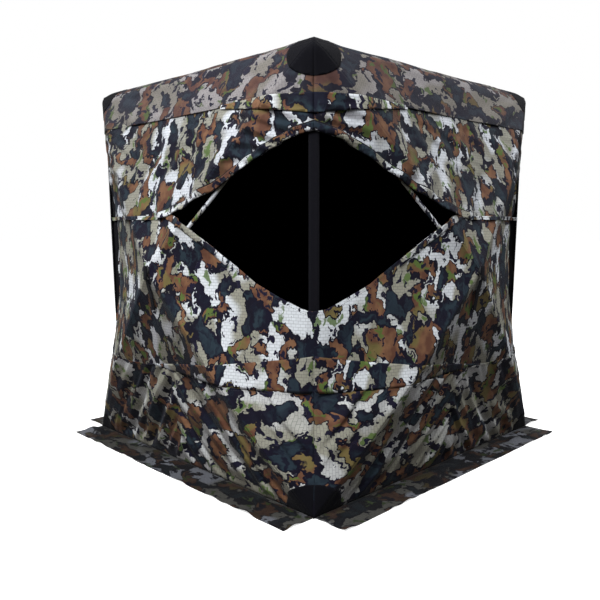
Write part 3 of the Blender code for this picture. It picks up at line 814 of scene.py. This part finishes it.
def add_skirt(side):
    """Ground skirt of a wall: a flat strip with slight rumples and a wandering outer edge."""
    columns, rows = 120, 14
    reach = SKIRT_EDGE - 0.008 - HALF_WIDTH
    seed = 50.0 + WALLS.index(side)
    verts, uvs = [], []
    for row in range(rows + 1):
        out = reach * row / rows
        for column in range(columns + 1):
            across = (2 * column / columns - 1) * (HALF_WIDTH - 0.003)
            swell = wavy(across, out, 7, 9, seed) + 0.5 * wavy(across, out, 19, 16, seed)
            lift = 0.0035 + RUMPLE * max(0.0, swell) * smooth(out, 0.0, 0.05)
            wander = 0.004 * wavy(across, 3.0, 5, 1, seed) * row / rows
            verts.append(FRAMES[side] @ Vector((across, lift, HALF_WIDTH + out + wander)))
            uvs.append((across + seed, out))
    faces = [face[::-1] for face in grid_faces(rows + 1, columns + 1)]
    mesh = new_mesh(f"{side}_skirt", verts, faces)
    write_uvs(mesh, uvs)
    piece = thicken(add_object(f"{side}_skirt", mesh, "skirt", "lining"), CLOTH, True)
    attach(piece, "shell")
    stand_for([piece], "camo_band", f"{side}_base_panel")


# ---- door in the back wall

DOOR = [(0.17, 0.0), (0.72, -0.34), (0.72, 0.55)]     # in the wall's plane, metres from its centre
ZIPPED = ((DOOR[0], DOOR[1]), (DOOR[2], DOOR[0]))
TAPE_WIDTH = 0.022
OPENING_GAP = 0.012       # from the door's outline to the wall's opening, along the zip
DOOR_GAP = 0.005          # from the outline to the door
TAPE_INSIDE = 0.014       # how far the tape reaches under the door
HINGE_WIDTH = 0.008


def grow(outline, distances):
    """Move each side of a convex, anticlockwise outline outward by its own distance."""
    lines = []
    for (start, end), distance in zip(sides_of(outline), distances):
        along = Vector((end[0] - start[0], end[1] - start[1])).normalized()
        lines.append((Vector(start) + Vector((along.y, -along.x)) * distance, along))
    grown = []
    for (p, d), (q, e) in zip(lines[-1:] + lines[:-1], lines):
        step = ((q.x - p.x) * e.y - (q.y - p.y) * e.x) / (d.x * e.y - d.y * e.x)
        grown.append(tuple(p + d * step))
    return grown


def in_uv(outline):
    """An outline in a wall's plane as (u, v)."""
    return [(x / HALF_WIDTH, y / HALF_HEIGHT) for x, y in outline]


def grown_door(zipped, hinged):
    """The door's outline in (u, v), moved outward along the zip and along the hinge."""
    return in_uv(grow(DOOR, (zipped, hinged, zipped)))


def add_back_wall():
    """Back panel with its door opening, the zip tape round it, the door and its seam tape."""
    lift = LIFT["upper"]
    whole = rectangle(-1, 1, level(BASE_SEAM), CURTAIN_TOP)
    wall = sheet("back_panel", "back", whole, lift, taut, openings=[grown_door(OPENING_GAP, 0.002)])
    stand_for(wall, "camo_curtain", "back_panel")
    tape = sheet("door_zip_tape", "back", grown_door(TAPE_WIDTH, 0), lift - 0.0018, taut, "binding",
                 openings=[grown_door(-TAPE_INSIDE, TAPE_WIDTH)])
    door = sheet("door_panel", "back", grown_door(-DOOR_GAP, 0), lift, taut, body="door")
    stand_for(door, "camo_curtain", "door_panel")
    (_, low), (left, high) = in_uv([DOOR[1], (DOOR[1][0] - HINGE_WIDTH, DOOR[2][1])])
    hinge = rectangle(left, 1, low, high)
    tape += sheet("door_hinge_tape", "back", hinge, lift + 0.0016, taut, "binding")
    stand_for(tape, "zip_tape", "door_zip_tape")


# ---- threads, teeth and other small repeats

def sector_of(u, v):
    """Sector of a panel that holds a point."""
    if abs(v) >= abs(u):
        return "top" if v > 0 else "bottom"
    return "right" if u > 0 else "left"


class Studs:
    """Many small boxes laid along lines on one panel, gathered into one object for each sector."""

    def __init__(self, name, side, material, slot):
        self.name, self.side, self.material, self.slot = name, side, material, slot
        self.boxes = {sector: ([], []) for sector in SECTORS}

    def line(self, start, end, pitch, size, lift, shape, skew=0.0):
        """Boxes of a size (along, across, out) from start to end in (u, v)."""
        wide, high = (end[0] - start[0]) * HALF_WIDTH, (end[1] - start[1]) * half_height(self.side)
        count = max(1, int(math.hypot(wide, high) / pitch))
        for number in range(count):
            ends = []
            for share in (number / count, (number + 1) / count):
                u, v = (max(-1, min(1, a + (b - a) * share)) for a, b in zip(start, end))
                ends.append(surface(self.side, u, v, lift + shape(self.side, u, v)))
            u, v = (a + (b - a) * (number + 0.5) / count for a, b in zip(start, end))
            self.box(u, v, (ends[0] + ends[1]) / 2, (ends[1] - ends[0]).normalized(), size, skew)

    def box(self, u, v, centre, along, size, skew):
        """One box on the surface."""
        out = outward(self.side)
        across = out.cross(along).normalized()
        along = (along + across * skew).normalized()
        verts, faces = self.boxes[sector_of(u, v)]
        first = len(verts)
        for top, taper in ((0, 1.0), (1, 0.7)):
            for a, b in ((-1, -1), (1, -1), (1, 1), (-1, 1)):
                verts.append(centre + along * (a * size[0] / 2 * taper) + across * (b * size[1] / 2 * taper)
                             + out * (top * size[2]))
        for face in ((4, 5, 6, 7), (0, 1, 5, 4), (1, 2, 6, 5), (2, 3, 7, 6), (3, 0, 4, 7), (3, 2, 1, 0)):
            faces.append(tuple(first + k for k in face))

    def finish(self):
        """Make the objects."""
        for sector, (verts, faces) in self.boxes.items():
            if faces:
                name = f"{self.name}_{sector}"
                piece = add_object(name, new_mesh(name, verts, faces), self.material)
                follow_hub(piece)


THREAD = (0.0052, 0.0011, 0.0006)      # along, across and out
STITCH = 0.0078                        # from one stitch to the next
TOOTH, TOOTH_PITCH = (0.0026, 0.0062, 0.0022), 0.0042
SLIDER, PULL_TAB = (0.017, 0.013, 0.007), (0.036, 0.008, 0.003)


def add_stitches(side, flip, window):
    """Rows of stitches along a wall's seams and hems."""
    rows = Studs(f"{side}_stitches", side, "thread", "webbing")
    for height, reach, lift, shape in (
            (ROOF_SEAM + 0.008, 0.99, LIFT["valance"], taut),
            (ROOF_SEAM + 0.015, 0.99, LIFT["valance"], taut),
            (BASE_SEAM - 0.005, 0.98, LIFT["base"], creased),
            (0.012, 0.97, LIFT["base"], creased)):
        rows.line((-reach, level(height)), (reach, level(height)), STITCH, THREAD, lift, shape)
    sign = -1 if flip else 1
    if side != "back":
        v = level(UPPER_HEM + 0.013)
        end = 0.0 if window else 0.98 * sign
        rows.line((-0.98 * sign, v), (end, v), STITCH, THREAD, LIFT["upper"] + 0.0025, drawn)
    if window:
        for curve, rise_up, lift, shape in ((ARCH, 0.024, LIFT["upper"] + 0.006, drawn),
                                            (BOWL, -0.014, LIFT["lower"], hung)):
            for (u0, z0), (u1, z1) in zip(curve, curve[1:]):
                end = (min(u1, 0.99) * sign, level(z1 + rise_up))
                rows.line((u0 * sign, level(z0 + rise_up)), end, STITCH, THREAD, lift, shape)
    rows.finish()


def add_roof_stitches():
    """Stitches round the roof's edge and along its diagonal seams."""
    rows = Studs("roof_stitches", "roof", "thread", "webbing")
    for inset in (0.985, 0.975):
        for start, end in sides_of(rectangle(-inset, inset, -inset, inset)):
            rows.line(start, end, STITCH, THREAD, LIFT["roof"], taut)
    rows.finish()


def add_zip():
    """Teeth and two sliders along the door's zipped edges."""
    lift = LIFT["upper"]
    teeth = Studs("zip_teeth", "back", "zip", "zip_tape")
    for edge in ZIPPED:
        teeth.line(*in_uv(edge), TOOTH_PITCH, TOOTH, lift - 0.001, taut)
    teeth.finish()
    sliders = Studs("zip_sliders", "back", "zip", "zip_tape")
    for (start, end), share, step in zip(ZIPPED, (0.05, 0.95), (0.03, -0.03)):
        a = Vector(start).lerp(Vector(end), share)
        b = Vector(start).lerp(Vector(end), share + step)
        here, ahead, behind = in_uv([a, b, a.lerp(b, -1.4)])
        sliders.line(here, ahead, 0.5, SLIDER, lift, taut)
        sliders.line(here, behind, 0.5, PULL_TAB, lift + 0.005, taut, 0.15)
    sliders.finish()


# ---- corner patches and straps

TOP_PATCH = (0.125, 0.125)             # reach across and up
FOOT_PATCH = (0.135, 0.11)
PATCH_STEPS = 10
STRAP_WIDTH = 0.038
STRAP_TOP = 1.39
STRAP_STEPS = 40
STRAP_ROUND = 0.016                    # radius over which a corner strap turns the corner
WEBBING = 0.0018                       # its thickness
FLAT_PROFILE = [(share, 0.0) for share in (-0.5, -0.25, 0, 0.25, 0.5)]
OPEN_CORNER = "front_right"


def quarter_disc(side, u_sign, v_sign, wide, high):
    """Outline of a quarter ellipse round a panel's corner."""
    turns = [math.radians(90 * k / PATCH_STEPS) for k in range(PATCH_STEPS + 1)]
    arc = [(u_sign * (1 - wide * math.cos(turn) / HALF_WIDTH),
            v_sign * (1 - high * math.sin(turn) / half_height(side))) for turn in turns]
    return in_order([(u_sign, v_sign)] + arc)


def walls_at(corner):
    """The wall to the left and the wall to the right of a corner, seen from outside."""
    quarter = CORNERS[corner]
    return WALLS[quarter], WALLS[(quarter + 1) % 4]


def add_patches(corner):
    """Reinforcing patches over a roof corner and a ground corner."""
    left, right = walls_at(corner)
    roof_corner = (1 if "right" in corner else -1, -1 if "front" in corner else 1)
    top, foot = [], []
    for side, u, v in (("roof", *roof_corner), (left, 1, 1), (right, -1, 1)):
        top += sheet(f"top_patch_{corner}_{side}", side, quarter_disc(side, u, v, *TOP_PATCH),
                     LIFT["valance"] + 0.002, taut, "patch")
    stand_for(top, "black_patch", f"top_patch_{corner}")
    for side, u in ((left, 1), (right, -1)):
        foot += sheet(f"foot_patch_{corner}_{side}", side, quarter_disc(side, u, -1, *FOOT_PATCH),
                      LIFT["base"] + 0.002, creased, "patch")
    stand_for(foot, "black_patch", f"foot_patch_{corner}")


def outward(side):
    """Outward direction of a panel."""
    return FRAMES[side].to_3x3() @ Vector((0, 0, 1))


def ribbon(name, points, across, out, profile):
    """Webbing along points; profile is a list of (share across, depth inward)."""
    verts, uvs = [], []
    travelled = 0.0
    for point, before in zip(points, points[:1] + points):
        travelled += (point - before).length
        for share, depth in profile:
            verts.append(point + across * share - out * depth)
            uvs.append((share * across.length, travelled))
    mesh = new_mesh(name, verts, grid_faces(len(points), len(profile)))
    mesh.update()
    if mesh.polygons[0].normal.dot(out) < 0:
        mesh.flip_normals()
    write_uvs(mesh, uvs)
    return thicken(add_object(name, mesh, "webbing"), WEBBING, False)


def add_corner_strap(corner):
    """Webbing down a corner. At the open corner it hangs flat behind the curtains."""
    left, right = walls_at(corner)
    away = (outward(left) + outward(right)).normalized()
    across = Vector((-away.y, away.x, 0)) * STRAP_WIDTH
    bottom = BASE_SEAM + 0.005
    profile, lift = FLAT_PROFILE, -0.006
    if corner != OPEN_CORNER:
        turns = [share / 16 for share in range(-8, 9)]
        profile = [(turn, math.hypot(turn * STRAP_WIDTH, STRAP_ROUND) - STRAP_ROUND) for turn in turns]
        lift = 0.003
    points = []
    for step in range(STRAP_STEPS + 1):
        height = bottom + (STRAP_TOP - bottom) * step / STRAP_STEPS
        points.append(surface(left, 1, level(height)) + away * lift)
    strap = ribbon(f"corner_strap_{corner}", points, across, away, profile)
    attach(strap, "shell")
    stand_for([strap], "webbing", f"corner_strap_{corner}")


# ---- hubs, rods and pull straps

DIAGONALS = ((1, 1), (-1, 1), (-1, -1), (1, -1))
ROD_ENDS = {"roof": ("back_right", "back_left", "front_left", "front_right"),
            "wall": ("upper_right", "upper_left", "lower_left", "lower_right")}
SLEEVED = (("front", "upper_right"), ("front", "lower_right"),
           ("right", "upper_left"), ("right", "lower_left"))
PIN_OFFSET = 0.040        # from the hub's centre to a rod's pin
PIN_DEPTH = 0.0280        # below the fabric
ROD_DEPTH = 0.0215        # near the hub a rod is a little above its pin
ROD_LEAN = 0.36           # four times how far a wall rod bows sideways, as a share of the half width
ROD_REACH = 0.955         # share of the way from hub to corner that a rod covers
ROD_RADIUS = 0.0045
ROD_STEPS = 48
TIP_LENGTH = 0.03
FERRULE_END = 0.05        # beyond the pin
SLEEVE_START, SLEEVE_END = 0.13, 0.90
SLEEVE_RADIUS, SLEEVE_GATHER = 0.0092, 0.0012
SLEEVE_FLATNESS = 0.62
SLEEVE_STEPS = 60
TUBE_PRINT = 1.3          # print metres to a metre of tube

# Profiles of the hub's turned parts: (radius, height over the fabric)
HUB_BODY = [(0.002, -0.022), (0.050, -0.022), (0.0535, -0.021), (0.055, -0.018), (0.055, -0.0155),
            (0.052, -0.014), (0.002, -0.010)]
HUB_POST = [(0.002, -0.034), (0.013, -0.034), (0.015, -0.032), (0.015, -0.021), (0.002, -0.021)]
HUB_CAP = [(0.002, -0.0060), (0.015, -0.0060), (0.0160, -0.0040), (0.0165, 0.0026), (0.0155, 0.0040),
           (0.012, 0.0050), (0.006, 0.0056), (0.0055, 0.0050), (0.002, 0.0050)]
PIN = [(0.0004, -0.0125), (0.0021, -0.0125), (0.0023, -0.012), (0.0023, 0.012), (0.0021, 0.0125),
       (0.0004, 0.0125)]
CHEEK_LOW, CHEEK_HIGH = (0.022, 0, -0.034), (0.052, 0.005, -0.0215)
CHEEKS = {"a": 0.0065, "b": -0.0115}      # where each cheek of a pair starts, across the rod

PULL_TOP, PULL_LENGTH = 0.02, 0.18        # above the hub's centre, and in all
PULL_WIDTH = 0.025
PULL_STEPS = 30
PULL_SEWN = -0.035                        # the strap lies flat over the cap down to here
PULL_LIFT = 0.0080


def rod_point(side, signs, share):
    """Point of a rod's centre line at a share of the way from the hub's centre to the corner."""
    lean = 0 if side == "roof" else ROD_LEAN * share * (1 - share)
    return surface(side, signs[0] * (share + lean), signs[1] * share, -ROD_DEPTH)


def tube(name, stations, normal, sides, material, flat=1.0):
    """Tube through (point, radius) stations; flat scales it along the normal."""
    verts = []
    for number, (point, radius) in enumerate(stations):
        before = stations[max(0, number - 1)][0]
        after = stations[min(len(stations) - 1, number + 1)][0]
        along = (after - before).normalized()
        across = along.cross(normal).normalized()
        out = across.cross(along).normalized()
        for k in range(sides):
            angle = 2 * math.pi * k / sides
            verts.append(point + (across * math.cos(angle) + out * (flat * math.sin(angle))) * radius)
    mesh = new_mesh(name, verts, ring_faces(len(stations), sides))
    clean = bmesh.new()
    clean.from_mesh(mesh)
    bmesh.ops.recalc_face_normals(clean, faces=clean.faces[:])
    clean.to_mesh(mesh)
    clean.free()
    write_uvs(mesh, [((v.co.x + v.co.y) * TUBE_PRINT, v.co.z * TUBE_PRINT) for v in mesh.vertices])
    made = add_object(name, mesh, material)
    mesh.set_sharp_from_angle(angle=math.radians(50))
    return made


def add_rod(side, signs, corner_name):
    """Bowed fibreglass rod with its ferrule and tip, and a fabric sleeve on the rods beside the window."""
    diagonal = math.hypot(HALF_WIDTH, half_height(side))
    first = (PIN_OFFSET - 0.008) / diagonal
    ferrule = (PIN_OFFSET + FERRULE_END) / diagonal
    tip = ROD_REACH - TIP_LENGTH / diagonal
    shares = [(first, 0.003), (first + 0.002, 0.0055), (ferrule - 0.002, 0.0058), (ferrule - 0.0015, 0.0064),
              (ferrule, 0.0064), (ferrule + 0.001, ROD_RADIUS)]
    shares += [(ferrule + (tip - ferrule) * step / ROD_STEPS, ROD_RADIUS) for step in range(1, ROD_STEPS)]
    shares += [(tip - 0.001, ROD_RADIUS), (tip, 0.006), (ROD_REACH - 0.003, 0.006), (ROD_REACH, 0.003)]
    node = f"rod_{side}_{corner_name}"
    stations = [(rod_point(side, signs, share), radius) for share, radius in shares]
    rod = tube(node, stations, outward(side), 20, "fibreglass")
    follow_hub(rod)
    stand_for([rod], "fibreglass", node)
    if (side, corner_name) not in SLEEVED:
        return
    stations = []
    for step in range(SLEEVE_STEPS + 1):
        share = SLEEVE_START + (SLEEVE_END - SLEEVE_START) * step / SLEEVE_STEPS
        radius = SLEEVE_RADIUS + SLEEVE_GATHER * wavy(share, signs[0], 30, 1, signs[1] + 3)
        stations.append((rod_point(side, signs, share), radius))
    sleeve = tube(f"{node}_sleeve", stations, outward(side), 16, "sleeve", SLEEVE_FLATNESS)
    follow_hub(sleeve)


def turned(name, profile, sides, matrix, material):
    """Solid of revolution about a frame's Z, from (radius, height) points."""
    verts = []
    for radius, height in profile:
        for k in range(sides):
            angle = 2 * math.pi * k / sides
            verts.append(matrix @ Vector((radius * math.cos(angle), radius * math.sin(angle), height)))
    mesh = new_mesh(name, verts, ring_faces(len(profile), sides))
    made = add_object(name, mesh, material)
    mesh.set_sharp_from_angle(angle=math.radians(35))
    return made


def block(name, low, high, matrix, material):
    """Bevelled box in a frame."""
    solid = bmesh.new()
    bmesh.ops.create_cube(solid, size=1)
    for vert in solid.verts:
        vert.co = Vector(low).lerp(Vector(high), 0.5) + vert.co * (Vector(high) - Vector(low))
    bmesh.ops.bevel(solid, geom=solid.edges[:], offset=0.001, segments=2, profile=0.5, affect="EDGES")
    solid.transform(matrix)
    mesh = bpy.data.meshes.new(name)
    solid.to_mesh(mesh)
    solid.free()
    return add_object(name, mesh, material)


def add_hub(side):
    """Hub: inner body and post, a pair of cheeks and a pin for each rod, and the cap over the fabric."""
    place = hub_frame(side)
    lie_down = Matrix.Rotation(math.radians(90), 4, "X")
    parts = [turned(f"hub_{side}_body", HUB_BODY, 96, place, "hub"),
             turned(f"hub_{side}_post", HUB_POST, 64, place, "hub")]
    for number, signs in enumerate(DIAGONALS):
        angle = math.atan2(signs[1] * half_height(side), signs[0] * HALF_WIDTH)
        turn = place @ Matrix.Rotation(angle, 4, "Z")
        for cheek, offset in CHEEKS.items():
            parts.append(block(f"hub_{side}_cheek_{number}{cheek}", CHEEK_LOW, CHEEK_HIGH,
                               turn @ Matrix.Translation((0, offset, 0)), "hub"))
        pin = turn @ Matrix.Translation((PIN_OFFSET, 0, -PIN_DEPTH)) @ lie_down
        parts.append(turned(f"hub_{side}_pin_{number}", PIN, 24, pin, "zip"))
    parts.append(turned(f"hub_{side}_cap", HUB_CAP, 80, place, "hub"))
    for part in parts:
        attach(part, f"hub_{side}")
    stand_for(parts, "hub_plastic", f"hub_{side}")


def add_pull_strap(side):
    """Webbing strap sewn over the hub's cap, its end hanging free."""
    points = []
    for step in range(PULL_STEPS + 1):
        drop = PULL_TOP - PULL_LENGTH * step / PULL_STEPS
        v = drop / half_height(side)
        lift = 0.0015 + hub_cover(side, 0, v) + 0.003 * smooth(-drop, 0.06, 0.12)
        sewn = drop > PULL_SEWN
        points.append(hub_frame(side) @ Vector((0, drop, PULL_LIFT)) if sewn else surface(side, 0, v, lift))
    across = (FRAMES[side].to_3x3() @ Vector((1, 0, 0))) * PULL_WIDTH
    strap = ribbon(f"pull_strap_{side}", points, across, outward(side), FLAT_PROFILE)
    follow_hub(strap)
    stand_for([strap], "webbing", f"pull_strap_{side}")


# Each wall with curtains: whether it is mirrored, so that its open corner is at u = -1, and has a window
CURTAINED = {"front": (False, True), "right": (True, True), "left": (False, False)}

add_roof()
for wall, layout in CURTAINED.items():
    add_upper_curtain(wall, *layout)
    add_lower_curtain(wall, *layout)
add_back_wall()
for wall in WALLS:
    add_base(wall)
    add_skirt(wall)
for wall in WALLS:
    add_stitches(wall, *CURTAINED.get(wall, (False, False)))
add_roof_stitches()
add_zip()
for name in CORNERS:
    add_patches(name)
    add_corner_strap(name)
for panel in PANELS:
    add_hub(panel)
    add_pull_strap(panel)
    for direction, end_name in zip(DIAGONALS, ROD_ENDS["roof" if panel == "roof" else "wall"]):
        add_rod(panel, direction, end_name)


# ---- stage

FLOOR_REACH = 40
FLOOR_GLOW = 0.66
# painted shade: the floor inside the blind is made dark
SHADED_GROUND = (0.05, 0.048, 0.045, 1)      # inside the blind


def add_floor():
    """White backdrop floor that throws little light back up; the ground inside the blind is painted dark as
    shade.
    """
    mesh = bpy.data.meshes.new("floor")
    corners = [(x * FLOOR_REACH, y * FLOOR_REACH, 0) for x, y in ((-1, -1), (1, -1), (1, 1), (-1, 1))]
    mesh.from_pydata(corners, [], [(0, 1, 2, 3)])
    floor = bpy.data.objects.new("floor", mesh)
    bpy.context.scene.collection.objects.link(floor)
    paint = Paint("floor_paint")
    place = paint.parts(paint.make("ShaderNodeNewGeometry").outputs["Position"])
    across = [paint.math("ABSOLUTE", place[axis]) for axis in (0, 1)]
    inside_blind = paint.math("LESS_THAN", paint.math("MAXIMUM", *across), HALF_WIDTH)
    seen = paint.make("ShaderNodeLightPath").outputs["Is Camera Ray"]
    outside = paint.mix(seen, scaled(WHITE, 0.06), scaled(WHITE, 0.93))
    glow = paint.mix(seen, BLACK, WHITE)
    mesh.materials.append(paint.shade({
        "Base Color": paint.mix(inside_blind, outside, SHADED_GROUND),
        "Emission Color": paint.mix(inside_blind, glow, BLACK),
        "Emission Strength": FLOOR_GLOW, "Roughness": 0.95}))


def add_world():
    """White backdrop; the light it gives comes mostly from above."""
    world = bpy.data.worlds.new("studio")
    world.use_nodes = True
    nodes = Nodes(world.node_tree)
    up = nodes.parts(nodes.make("ShaderNodeTexCoord").outputs["Generated"])["Z"]
    light = nodes.make("ShaderNodeMapRange", {"Value": up, "From Min": -0.2, "To Min": 0.04, "To Max": 0.55})
    seen = nodes.make("ShaderNodeLightPath").outputs["Is Camera Ray"]
    strength = nodes.make("ShaderNodeMix", {"Factor": seen, "A": light.outputs[0], "B": 1.0})
    background = world.node_tree.nodes["Background"]
    nodes.plug(background.inputs["Strength"], strength.outputs["Result"])
    nodes.plug(background.inputs["Color"], WHITE)
    bpy.context.scene.world = world


SOFTBOXES = (                     # place, size in metres, power in watts
    ((1.7, -3.8, 3.9), 2.0, 310),
    ((-3.6, -3.2, 3.4), 2.4, 80),
    ((3.4, 2.8, 3.4), 2.4, 120),
    ((-3.4, 3.4, 3.2), 2.4, 170),
)
SOFTBOX_TARGET = (0, 0, 0.9)
CAMERA_TURN = math.radians(45)
CAMERA_DISTANCE = 3.356
CAMERA_HEIGHT = 1.01
LENS = 40.14
LENS_SHIFT = (-0.0233, -0.1255)


def add_softboxes():
    """Soft lights round the blind, the strongest in front of the open corner."""
    for place, size, power in SOFTBOXES:
        data = bpy.data.lights.new("softbox", "AREA")
        data.size = size
        data.energy = power
        light = bpy.data.objects.new("softbox", data)
        light.location = place
        aim = Vector(SOFTBOX_TARGET) - Vector(place)
        light.rotation_euler = aim.to_track_quat("-Z", "Y").to_euler()
        bpy.context.scene.collection.objects.link(light)


def add_camera():
    """Camera in front of the open corner, level, with its view shifted down."""
    data = bpy.data.cameras.new("camera")
    data.sensor_width = 36
    data.lens = LENS
    data.shift_x, data.shift_y = LENS_SHIFT
    camera = bpy.data.objects.new("camera", data)
    camera.location = (CAMERA_DISTANCE * math.sin(CAMERA_TURN), -CAMERA_DISTANCE * math.cos(CAMERA_TURN),
                       CAMERA_HEIGHT)
    camera.rotation_euler = (math.radians(90), 0, CAMERA_TURN)
    bpy.context.scene.collection.objects.link(camera)
    bpy.context.scene.camera = camera


add_floor()
add_world()
add_softboxes()
add_camera()
bpy.context.scene.view_settings.view_transform = "Standard"
